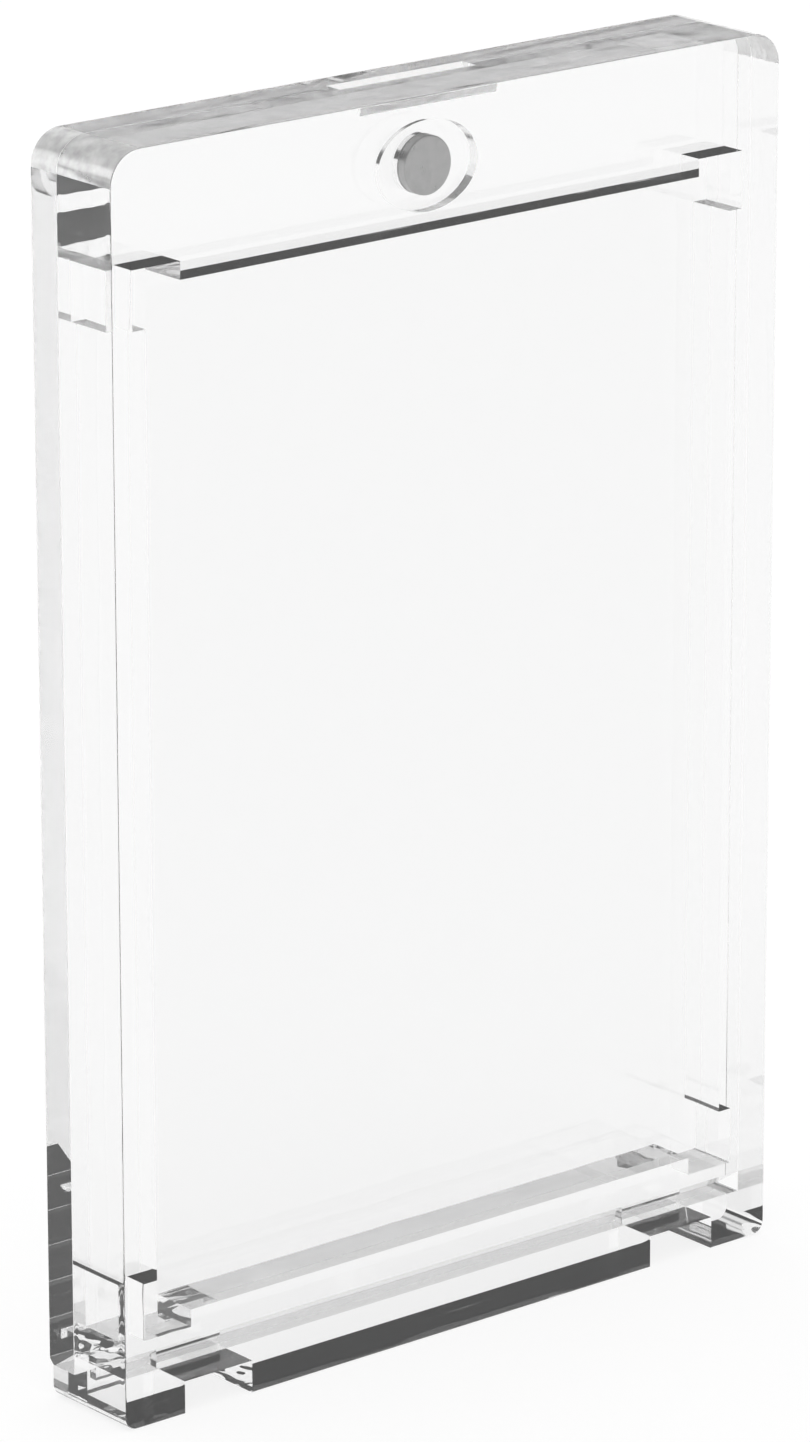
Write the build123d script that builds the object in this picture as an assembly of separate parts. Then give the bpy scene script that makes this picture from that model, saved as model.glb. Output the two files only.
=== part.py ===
from build123d import *
import math
import os

# Magnetic display case for one thick trading card: a front shell that holds the card in a pocket, a rear
# shell that closes it, and a magnet at the top of each. Millimetres, +Z up. The origin is on the standing
# surface under the middle of the case, the front faces -Y, and the card pocket opens towards +Y.

# Card and pocket
card_width = 63.5
card_height = 88.9
card_thickness = 4.57  # 180 points of a thousandth of an inch
card_side_clearance = 0.55
card_end_clearance = 1.1
card_face_clearance = 0.13

# Walls round the pocket
side_wall = 4.5
top_margin = 12.1
bottom_margin = 8.8
front_wall = 2.55
rear_plate = 3.5
seam_gap = 0.05

# Outer corners, seen from the front, and the edges round the two large faces
top_corner_radius = 3.0
bottom_corner_radius = 1.2
face_edge_radius = 0.1

# Square reliefs that keep the pocket off the card's corners
relief_width = 5.05
relief_height = 5.2
relief_side_step = 1.4
relief_end_step = 1.6

# Lip of the front shell that the rear shell stands on, with two slots for the hooks
lip_height = 3.0
lip_reach = 3.0
lip_rear_bar = 1.35
slot_width = 7.4
slot_centre_x = 26.7

# Foot of the rear shell, bevelled to a narrow heel, and its hooks
foot_gap = 0.05
heel_chamfer = 0.55
underside_rise = 1.8
underside_heel = 0.3
hook_side_clearance = 0.2
hook_bar_clearance = 0.15
hook_thickness = 0.9
hook_drop = 1.5

# Finger notch across the seam in the top edge
notch_length = 15.0
notch_reach = 0.95
notch_depth = 1.9

# Magnets: the front one stands in the rear shell's oval recess, and the rear one lies in that recess's floor
magnet_diameter = 5.2
front_magnet_thickness = 0.9
rear_magnet_thickness = 1.0
magnet_edge_radius = 0.12
glue_film = 0.05
magnet_gap = 0.05
magnet_bore_clearance = 0.03
magnet_below_top = 7.2
recess_width = 11.0
recess_height = 8.0
recess_taper = 2  # degrees

# Worked out from the sizes above
pocket_width = card_width + 2 * card_side_clearance
pocket_height = card_height + 2 * card_end_clearance
pocket_depth = card_thickness + card_face_clearance
case_width = pocket_width + 2 * side_wall
case_height = bottom_margin + pocket_height + top_margin
front_depth = front_wall + pocket_depth
case_depth = front_depth + seam_gap + rear_plate

front_y = -case_depth / 2
rear_y = case_depth / 2
pocket_floor_y = front_y + front_wall
seam_front_y = front_y + front_depth
seam_rear_y = seam_front_y + seam_gap
seam_y = (seam_front_y + seam_rear_y) / 2
lip_rear_y = seam_front_y + lip_reach
slot_rear_y = lip_rear_y - lip_rear_bar
foot_z = lip_height + foot_gap
pocket_centre_z = bottom_margin + pocket_height / 2
magnet_z = case_height - magnet_below_top
front_magnet_y = seam_front_y + glue_film
recess_floor_y = front_magnet_y + front_magnet_thickness + magnet_gap
bore_floor_y = recess_floor_y + rear_magnet_thickness + glue_film
relief_outer_x = pocket_width / 2 + relief_side_step


def slab(sketch, y_from, y_to):
    """Extrude a sketch drawn in front view, with its local Y as height, from one depth to another."""
    return extrude(Plane.XZ.offset(-y_from) * sketch, amount=y_from - y_to)


def bar(sketch, length, centre_x=0):
    """Extrude a sketch drawn in side view, with its local X as depth, to both sides of centre_x."""
    return extrude(Plane.YZ.offset(centre_x) * sketch, amount=length / 2, both=True)


def front_view(z_bottom):
    """Outline of the case from the front, from z_bottom to the top, with the top corners rounded."""
    height = case_height - z_bottom
    outline = Pos(0, z_bottom + height / 2) * Rectangle(case_width, height)
    return fillet(outline.vertices().group_by(Axis.Y)[-1], top_corner_radius)


def round_bottom_corners(shell):
    """Round the two bottom edges that run from front to back at the sides."""
    bottom_edges = shell.edges().filter_by(Axis.Y).group_by(Axis.Z)[0].sort_by(Axis.X)
    return fillet([bottom_edges[0], bottom_edges[-1]], bottom_corner_radius)


def soften_edges(face):
    """Round the edges all the way round one large outer face of a shell."""
    return fillet(face.edges(), face_edge_radius)


def pocket_view():
    """Front view of the card pocket: the card's rectangle and a square relief beyond each corner."""
    view = Pos(0, pocket_centre_z) * Rectangle(pocket_width, pocket_height)
    relief_x = relief_outer_x - relief_width / 2
    relief_dz = pocket_height / 2 + relief_end_step - relief_height / 2
    for side in (-1, 1):
        for end in (-1, 1):
            centre = Pos(side * relief_x, pocket_centre_z + end * relief_dz)
            view += centre * Rectangle(relief_width, relief_height)
    return view


def finger_notch():
    """V-shaped groove across the seam in the top edge, cut half from each shell."""
    section = Polygon(
        (seam_y - notch_reach, case_height),
        (seam_y, case_height - notch_depth),
        (seam_y + notch_reach, case_height),
        align=None,
    )
    return bar(section, notch_length)


def disc(diameter, y_from, y_to):
    """Round solid on the magnets' axis, from one depth to another."""
    return slab(Pos(0, magnet_z) * Circle(diameter / 2), y_from, y_to)


def magnet_recess():
    """Oval recess in the rear shell's inner face, with walls that lean outwards to its mouth."""
    depth = recess_floor_y - seam_rear_y
    narrowing = depth * math.tan(math.radians(recess_taper))
    mouth = Pos(0, magnet_z) * Ellipse(recess_width / 2, recess_height / 2)
    floor = Pos(0, magnet_z) * Ellipse(recess_width / 2 - narrowing, recess_height / 2 - narrowing)
    return loft([Plane.XZ.offset(-seam_rear_y) * mouth, Plane.XZ.offset(-recess_floor_y) * floor])


def make_front_shell():
    """Front half: window, pocket, finger notch, and the slotted lip along the bottom."""
    shell = slab(front_view(0), front_y, seam_front_y)
    shell += slab(Pos(0, lip_height / 2) * Rectangle(case_width, lip_height), seam_front_y, lip_rear_y)
    shell = round_bottom_corners(shell)
    shell = soften_edges(shell.faces().sort_by(Axis.Y)[0])
    shell -= slab(pocket_view(), pocket_floor_y, seam_front_y)
    for side in (-1, 1):
        slot = Pos(side * slot_centre_x, lip_height / 2) * Rectangle(slot_width, lip_height)
        shell -= slab(slot, front_y, slot_rear_y)
    return shell - finger_notch()


def hook(side):
    """Hook that drops through the lip's slot and catches in front of its rear bar."""
    rear = slot_rear_y - hook_bar_clearance
    top = foot_z + underside_rise
    section = Polygon(
        (rear - hook_thickness, foot_z - hook_drop),
        (rear, foot_z - hook_drop),
        (rear, top),
        (rear - hook_thickness, top),
        align=None,
    )
    return bar(section, slot_width - 2 * hook_side_clearance, side * slot_centre_x)


def make_rear_shell():
    """Rear half: flat plate on a narrow heel, with hooks below and the magnets' recess and bore above."""
    shell = slab(front_view(foot_z), seam_rear_y, rear_y)
    heel_edge = shell.edges().filter_by(Axis.X).group_by(Axis.Z)[0].sort_by(Axis.Y)[-1]
    shell = chamfer(heel_edge, heel_chamfer)
    shell = soften_edges(shell.faces().sort_by(Axis.Y)[-1])
    underside = Polygon(
        (seam_rear_y, foot_z),
        (rear_y - heel_chamfer - underside_heel, foot_z),
        (seam_rear_y, foot_z + underside_rise),
        align=None,
    )
    shell -= bar(underside, case_width)
    for side in (-1, 1):
        shell += hook(side)
    shell -= magnet_recess()
    shell -= disc(magnet_diameter + 2 * magnet_bore_clearance, recess_floor_y, bore_floor_y)
    return shell - finger_notch()


def magnet(y_from, thickness):
    """Disc magnet with the rounded edges that plating leaves."""
    body = disc(magnet_diameter, y_from, y_from + thickness)
    return fillet(body.edges().filter_by(GeomType.CIRCLE), magnet_edge_radius)


def make_front_magnet():
    """Magnet glued to the front shell's rear face, which stands in the rear shell's recess."""
    return magnet(front_magnet_y, front_magnet_thickness)


def make_rear_magnet():
    """Magnet in a close bore, level with the recess's floor."""
    return magnet(recess_floor_y, rear_magnet_thickness)


nodes = {
    "front_shell": make_front_shell(),
    "rear_shell": make_rear_shell(),
    "front_magnet": make_front_magnet(),
    "rear_magnet": make_rear_magnet(),
}

os.makedirs("parts", exist_ok=True)
for name, shape in nodes.items():
    export_step(shape, f"parts/{name}.step")
    print(name, "volume", round(shape.volume, 1), "mm3")
print("case", case_width, "x", case_depth, "x", case_height, "mm")
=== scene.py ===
# %% [markdown]
# # A clear display case on a white table
# The case is two mouldings in clear plastic that close on one thick trading card, and two small magnets
# that hold them together. The CAD model already has every wall, gap and rounded edge at its true size, so
# no piece is modelled again here. This lesson is about light: clear plastic has no look of its own, and
# shows only what it bends and mirrors. True thickness, a true index of refraction, thin air gaps where
# pieces meet and well placed surroundings do nearly all the work.

# %% Load the model
import math

import bpy
import numpy as np
from mathutils import Matrix, Vector


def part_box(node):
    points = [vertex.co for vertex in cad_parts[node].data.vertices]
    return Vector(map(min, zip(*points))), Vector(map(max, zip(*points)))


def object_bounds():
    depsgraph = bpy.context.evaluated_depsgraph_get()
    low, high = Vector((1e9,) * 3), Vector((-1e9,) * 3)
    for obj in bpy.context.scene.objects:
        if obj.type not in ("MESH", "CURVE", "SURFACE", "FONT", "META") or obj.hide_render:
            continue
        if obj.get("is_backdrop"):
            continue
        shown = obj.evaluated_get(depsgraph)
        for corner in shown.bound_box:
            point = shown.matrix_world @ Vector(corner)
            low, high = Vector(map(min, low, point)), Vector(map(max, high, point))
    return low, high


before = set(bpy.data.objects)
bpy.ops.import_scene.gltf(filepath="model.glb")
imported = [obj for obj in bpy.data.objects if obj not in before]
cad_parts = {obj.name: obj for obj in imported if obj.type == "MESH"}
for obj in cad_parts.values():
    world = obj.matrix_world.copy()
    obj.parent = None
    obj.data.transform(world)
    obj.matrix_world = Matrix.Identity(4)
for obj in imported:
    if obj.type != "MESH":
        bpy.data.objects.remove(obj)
cad_low, cad_high = (np.array(corner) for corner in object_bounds())
print("pieces:", ", ".join(sorted(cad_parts)))

# %% [markdown]
# ## The camera
# A product picture of a small thing is taken with a long lens from a fair distance, so that upright edges
# stay nearly parallel. A camera could be placed by hand and turned until it looks right. Here its place
# is worked out from an angle round the case, an angle above the table and a distance, so that one of them
# can change alone. The three directions of its own frame, sideways, upwards and backwards, are the
# columns of the matrix that turns it.

# %% Camera
camera_azimuth = math.radians(-39.74)
camera_elevation = math.radians(17.42)
camera_roll = math.radians(-0.057)
camera_distance = 0.6489
camera_lens_mm = 188.86
camera_sensor_mm = 36
camera_near_limit = 0.01
camera_target = Vector((-0.00573, cad_low[1], 0.05752))

backwards = Vector((
    math.sin(camera_azimuth) * math.cos(camera_elevation),
    -math.cos(camera_azimuth) * math.cos(camera_elevation),
    math.sin(camera_elevation),
))
sideways = Vector((0, 0, 1)).cross(backwards).normalized()
upwards = backwards.cross(sideways)
turn = Matrix((sideways, upwards, backwards)).transposed() @ Matrix.Rotation(camera_roll, 3, "Z")

camera_data = bpy.data.cameras.new("camera")
camera_data.sensor_width = camera_sensor_mm
camera_data.lens = camera_lens_mm
camera_data.clip_start = camera_near_limit
camera = bpy.data.objects.new("camera", camera_data)
camera.matrix_world = Matrix.Translation(camera_target + backwards * camera_distance) @ turn.to_4x4()
bpy.context.scene.collection.objects.link(camera)
bpy.context.scene.camera = camera
print("camera stands at", [round(c, 3) for c in camera.matrix_world.translation], "m")

# %% [markdown]
# ## Writing shader maths as sums
# A material is a chart of nodes, and charts with many Math nodes are slow to read. Two small classes let
# the same chart be written as Python sums. `Signal` wraps one output socket, and each operator on it adds
# one Math node and returns a new `Signal`. `Chart` has one method, `add`, for every node: it takes the
# node's type, its settings, and what goes into its sockets, either plain values or other signals.

# %% Signals and charts
class Signal:
    """One output socket. An operator on it adds a Math node to the same chart."""

    def __init__(self, chart, socket):
        self.chart = chart
        self.socket = socket

    def math(self, operation, first, second=0.0):
        return self.chart.add("ShaderNodeMath", {"operation": operation}, {0: first, 1: second})

    def __add__(self, other):
        return self.math("ADD", self, other)

    def __sub__(self, other):
        return self.math("SUBTRACT", self, other)

    def __rsub__(self, other):
        return self.math("SUBTRACT", other, self)

    def __mul__(self, other):
        return self.math("MULTIPLY", self, other)

    def __lt__(self, other):
        return self.math("LESS_THAN", self, other)

    def __gt__(self, other):
        return self.math("GREATER_THAN", self, other)

    def __and__(self, other):
        return self.math("MINIMUM", self, other)

    def __or__(self, other):
        return self.math("MAXIMUM", self, other)

    def __abs__(self):
        return self.math("ABSOLUTE", self)

    __radd__ = __add__
    __rmul__ = __mul__


class Chart:
    """The node chart of one material or of the world."""

    def __init__(self, owner):
        owner.use_nodes = True
        self.tree = owner.node_tree

    def fill(self, node, sockets):
        """Give each named socket a plain value, or a link where the value is a signal."""
        for name, value in sockets.items():
            if isinstance(value, Signal):
                self.tree.links.new(value.socket, node.inputs[name])
            else:
                node.inputs[name].default_value = value

    def add(self, node_type, settings, sockets, output=0):
        """Add a node, set its settings before its sockets, and return one of its outputs."""
        node = self.tree.nodes.new(node_type)
        for setting, value in settings.items():
            setattr(node, setting, value)
        self.fill(node, sockets)
        return Signal(self, node.outputs[output])


def new_material(name):
    """Make a material and return it with its chart and its Principled shader."""
    material = bpy.data.materials.new(name)
    chart = Chart(material)
    return material, chart, chart.tree.nodes["Principled BSDF"]


print("operators: + - * < > & | abs")

# %% [markdown]
# ## The white table
# The case stands on a white sheet that runs out past every edge of the picture. A lit white sheet is
# never quite as white as paper in print, and more light on it would burn out the case as well. So the
# sheet is a mix: most of what the camera sees, straight or through the plastic, is a plain glow of
# strength 1, and the rest is ordinary white card that takes the light and keeps the soft shadow of the
# case. The sheet lies a hair below the case, because two faces in one plane would leave the plastic's
# underside half in air and half in card.

# %% Floor
floor_radius = 4.0
floor_drop = 0.00005
floor_glow = 0.85
glow_strength = 1.0
card_colour = (0.97, 0.97, 0.97, 1)
card_roughness = 0.9

white_card, chart, card_shader = new_material("white_card")
chart.fill(card_shader, {"Base Color": card_colour, "Roughness": card_roughness, "Specular IOR Level": 0.0})
seen_straight = chart.add("ShaderNodeLightPath", {}, {}, "Is Camera Ray")
seen_mirrored = chart.add("ShaderNodeLightPath", {}, {}, "Is Glossy Ray")
seen_through = chart.add("ShaderNodeLightPath", {}, {}, "Is Transmission Ray")
glow = chart.add("ShaderNodeEmission", {}, {"Strength": glow_strength})
card = Signal(chart, card_shader.outputs[0])
surface = chart.add("ShaderNodeMixShader", {}, {
    0: (seen_straight | seen_mirrored | seen_through) * floor_glow,
    1: card,
    2: glow,
})
chart.fill(chart.tree.nodes["Material Output"], {"Surface": surface})

bpy.ops.mesh.primitive_circle_add(radius=floor_radius, fill_type="NGON", location=(0, 0, -floor_drop))
floor = bpy.context.object
floor.name = "floor"
floor.data.materials.append(white_card)
floor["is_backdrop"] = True
print("floor radius:", floor_radius, "m")

# %% [markdown]
# ## The light
# One very wide lamp overhead gives a shadow with no edge. It lights only what scatters light: its own
# disc would otherwise hang as a second, hard picture in every face of the plastic.

# %% Overhead lamp
lamp_strength = 2.2
lamp_width = math.radians(80)

overhead_data = bpy.data.lights.new("overhead", "SUN")
overhead_data.energy = lamp_strength
overhead_data.angle = lamp_width
overhead = bpy.data.objects.new("overhead", overhead_data)
overhead.visible_glossy = False
overhead.visible_transmission = False
bpy.context.scene.collection.objects.link(overhead)
print("overhead lamp:", lamp_strength)

# %% [markdown]
# ## The studio around the table
# What a clear case shows is the room it stands in. A picture of a real room could be wrapped round it,
# but four rings of plain brightness are enough, and each has one job.
#
# - Level with the table and below, all is white. Most faces bend the view down to the table and stay
#   white.
# - Above the table's far edge stands dark card. Faces that mirror the view upwards at the slope it came
#   in at, such as the underside of the lip and the ceiling of the pocket, go dark and draw the shape of
#   the case.
# - Above that is a light wall, which the round corners and the wall of the magnets' recess pick up as
#   soft greys.
# - Then the room is dark again up to a softbox overhead, which brightens only light that has lost its
#   way.

# %% Surroundings
table_angles = (6, 10)
wall_foot_angles = (25, 33)
wall_top_angles = (43, 49)
softbox_angles = (60, 65)
table_brightness = 1.0
dark_brightness = 0.02
wall_brightness = 0.8
softbox_brightness = 1.0

world = bpy.data.worlds.new("studio")
bpy.context.scene.world = world
chart = Chart(world)
direction = chart.add("ShaderNodeTexCoord", {}, {}, "Generated")
height = chart.add("ShaderNodeSeparateXYZ", {}, {0: direction}, "Z")


def ease(angles, start, end):
    """Go smoothly from one brightness to another between two angles above the table, in degrees."""
    low, high = (math.sin(math.radians(angle)) for angle in angles)
    return chart.add("ShaderNodeMapRange", {"interpolation_type": "SMOOTHSTEP"}, {
        "Value": height, "From Min": low, "From Max": high, "To Min": start, "To Max": end,
    })


table = ease(table_angles, table_brightness, dark_brightness)
wall_foot = ease(wall_foot_angles, 0.0, wall_brightness - dark_brightness)
wall_top = ease(wall_top_angles, 0.0, dark_brightness - wall_brightness)
softbox = ease(softbox_angles, 0.0, softbox_brightness - dark_brightness)
chart.fill(chart.tree.nodes["Background"], {"Color": table + wall_foot + wall_top + softbox})
print("dark card from", table_angles[1], "to", wall_foot_angles[0], "degrees above the table")

# %% [markdown]
# ## How far a ray is followed
# In a block of clear plastic a ray can bounce from wall to wall dozens of times before it finds a face
# that lets it out. When it is given up early it counts as black, and the thick edges fill with dirt. The
# renderer is told to follow it much further than usual. The picture is shown without a film curve, so a
# white table stays white.

# %% Ray depth and colour
most_bounces = 128

cycles = bpy.context.scene.cycles
cycles.max_bounces = most_bounces
cycles.transmission_bounces = most_bounces
cycles.glossy_bounces = most_bounces
bpy.context.scene.view_settings.view_transform = "Standard"
print("a ray is followed for up to", most_bounces, "bounces")

# %% [markdown]
# ## Clear plastic
# The shells are taken to be clear polystyrene, because an index of about 1.6 puts their inner edges where
# the real case shows them, and acrylic's index is 1.49. The shader is a solid glass, because the shells
# have their true thickness, with a trace of haze: a hundredth of the light is scattered at each face
# instead of passed on. That is too little to see on a window, but in the thick edges, where light goes
# round and round, it turns black into silver.

# %% Plastic: index and haze
plastic_index = 1.6
plastic_clarity = 0.99

clear_plastic, chart, plastic = new_material("clear_plastic")
chart.fill(plastic, {"Transmission Weight": plastic_clarity, "IOR": plastic_index})
print("plastic: index", plastic_index, "and clarity", plastic_clarity)

# %% [markdown]
# ## Where the finish changes
# Both shells are polished on their large faces and less so elsewhere. One material serves both, so it has
# to know where it is. Object coordinates give the place in metres, and comparing them with sizes of the
# case gives masks: 1 inside a region and 0 outside it. `&` takes the smaller of two masks, which means
# both, and the smallest of three distances is the distance to the nearest large face.

# %% Plastic: regions
hair = 0.00003
window_thickness = 0.00255
pocket_half_width = 0.0323
pocket_bottom = 0.0088
pocket_top = 0.0999
corner_radius = 0.003
front_y, rear_y = cad_low[1], cad_high[1]
corner_x = cad_high[0] - corner_radius
corner_z = cad_high[2] - corner_radius
plate_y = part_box("rear_shell")[0][1]

place = chart.add("ShaderNodeTexCoord", {}, {}, "Object")
x, y, z = (chart.add("ShaderNodeSeparateXYZ", {}, {0: place}, axis) for axis in "XYZ")
between_ends = (z > pocket_bottom) & (z < pocket_top)
between_faces = (y > front_y + window_thickness - hair) & (y < plate_y + hair)
in_pocket = (abs(x) < pocket_half_width) & between_ends & between_faces
from_large_face = abs(y - front_y) & abs(y - plate_y + hair) & abs(y - rear_y)
off_large_faces = from_large_face > 2 * hair
on_sides = (abs(x) > corner_x) & off_large_faces
on_plate_sides = on_sides & (y > plate_y)
on_top_edge = (z > corner_z) & off_large_faces
on_corners = on_top_edge & on_sides

# %% [markdown]
# ## Tint and polish
# Clear plastic keeps a few hundredths of the light that passes a face. The two faces of the pocket are
# given a little more loss, and the rear plate's narrow sides, which show 70 mm of plastic from end to end
# instead of 3, are given the most. An absorbing volume is the truer way, because its loss grows with the
# path. It isn't used here, because trapped rays have very long paths and would probably go black, so the
# loss is set place by place. The top edge is slightly duller than the rest, and its round corners
# are the dullest.

# %% Plastic: tint and dullness
rim_tint = 0.975
pocket_tint = 0.95
plate_side_tint = 0.87
top_edge_roughness = 0.06
corner_roughness = 0.15

tint = rim_tint - in_pocket * (rim_tint - pocket_tint) - on_plate_sides * (rim_tint - plate_side_tint)
dullness = on_top_edge * top_edge_roughness | on_corners * corner_roughness
chart.fill(plastic, {"Base Color": tint, "Roughness": dullness})
print("tint: rims", rim_tint, "pocket", pocket_tint, "plate sides", plate_side_tint)

# %% [markdown]
# ## Painted light on the top edge
# Light that enters the top edge, and above all its round corners, turns steeply down and is caught
# between the walls. In the renderer much of it never gets out: without the mix below, the middle of a
# corner comes out at about half of the plain white all round it. On the real case these places are pale.
# Fine scratches would let the light out, and so would a milky skin, but the cause is not known. More haze
# in the whole shader would let it out too, but would turn the windows milky. So a little plain white is
# mixed into the clear shader here as painted light, steered by the same masks, to make up for the light
# that is lost. A noise makes the painted light patchy from one millimetre to the next.

# %% Plastic: painted light on the top edge
# The two shares below are painted light: plain white mixed in where trapped light is lost.
top_edge_painted_light = 0.14
corner_painted_light = 0.38
painted_light_spread = 1.6
light_patches_per_metre = 700
light_patch_detail = 3.0
painted_light_colour = (0.95, 0.95, 0.95, 1)
painted_light_roughness = 1.0
noise_middle = 0.5

light_patches = chart.add("ShaderNodeTexNoise", {}, {
    "Vector": place, "Scale": light_patches_per_metre, "Detail": light_patch_detail,
})
patchy = 1 + (light_patches - noise_middle) * painted_light_spread
# Painted light: plain white on the top edge and, more strongly, on its corners, made patchy by the noise.
painted_light = (on_top_edge * top_edge_painted_light | on_corners * corner_painted_light) * patchy
painted_light_white = chart.add("ShaderNodeBsdfPrincipled", {}, {
    "Base Color": painted_light_colour, "Roughness": painted_light_roughness,
})
clear = Signal(chart, plastic.outputs[0])
# The clear shader with the painted white mixed over it.
clear_with_painted_light = chart.add("ShaderNodeMixShader", {}, {0: painted_light, 1: clear, 2: painted_light_white})
chart.fill(chart.tree.nodes["Material Output"], {"Surface": clear_with_painted_light})
print("frost: top edge", top_edge_painted_light, "corners", corner_painted_light)

# %% [markdown]
# ## Swell
# The narrow edges of a thick moulding are seldom flat: as it cools they can shrink in shallow waves, a
# few millimetres long. They could be modelled, but a tenth of a millimetre of bump does the same to
# light. The noise is squeezed from front to rear, where the walls are short. The waves fade out towards
# the large faces, which are flat, and the rear half has none, because its sides look smooth.

# %% Plastic: swell
swell_per_metre = (110, 180, 110)
swell_detail = 1.0
swell_height = 0.0001
swell_fade = 0.0008

stretched = chart.add("ShaderNodeVectorMath", {"operation": "MULTIPLY"}, {0: place, 1: swell_per_metre})
swell = chart.add("ShaderNodeTexNoise", {}, {"Vector": stretched, "Scale": 1.0, "Detail": swell_detail})
fading = chart.add("ShaderNodeMapRange", {"interpolation_type": "SMOOTHSTEP"}, {
    "Value": from_large_face, "From Min": 2 * hair, "From Max": swell_fade,
})
waves = (swell - noise_middle) * fading * (y < plate_y)
uneven = chart.add("ShaderNodeBump", {}, {"Height": waves, "Distance": swell_height})
chart.fill(plastic, {"Normal": uneven})

# %% [markdown]
# ## Plated magnets
# Small magnets rust, so they are plated with nickel, and the plating is tumbled rather than polished: a
# soft grey shine with faint cloudy blotches about a millimetre across and a finer grain on top. One noise
# makes the blotches and a finer one the grain. Both move the colour a little and the roughness a little
# more, because tumbled metal varies in shine before it varies in colour.

# %% Nickel plating
nickel_grey = 0.42
nickel_roughness = 0.35
grey_spread = 0.3
shine_spread = 0.4
blotches_per_metre = 900
blotch_detail = 2.0
grain_per_metre = 9000
grain_detail = 1.0
grain_share = 0.3
grain_height = 0.000002

nickel, chart, metal = new_material("tumbled_nickel")
place = chart.add("ShaderNodeTexCoord", {}, {}, "Object")
blotches = chart.add("ShaderNodeTexNoise", {}, {
    "Vector": place, "Scale": blotches_per_metre, "Detail": blotch_detail,
})
grain = chart.add("ShaderNodeTexNoise", {}, {
    "Vector": place, "Scale": grain_per_metre, "Detail": grain_detail,
})
cloud = blotches + grain * grain_share - noise_middle * (1 + grain_share)
tumbled = chart.add("ShaderNodeBump", {}, {"Height": grain, "Distance": grain_height})
chart.fill(metal, {
    "Metallic": 1.0,
    "Base Color": cloud * grey_spread + nickel_grey,
    "Roughness": cloud * shine_spread + nickel_roughness,
    "Normal": tumbled,
})
print("nickel grey:", nickel_grey)

# %% [markdown]
# ## Dress the pieces
# The CAD pieces keep their shape and place. Only the material in their slots changes.

# %% Give each piece its finish
finishes = {
    "front_shell": clear_plastic,
    "rear_shell": clear_plastic,
    "front_magnet": nickel,
    "rear_magnet": nickel,
}
for name, material in finishes.items():
    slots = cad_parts[name].data.materials
    slots.clear()
    slots.append(material)
    print(name, "is", material.name)
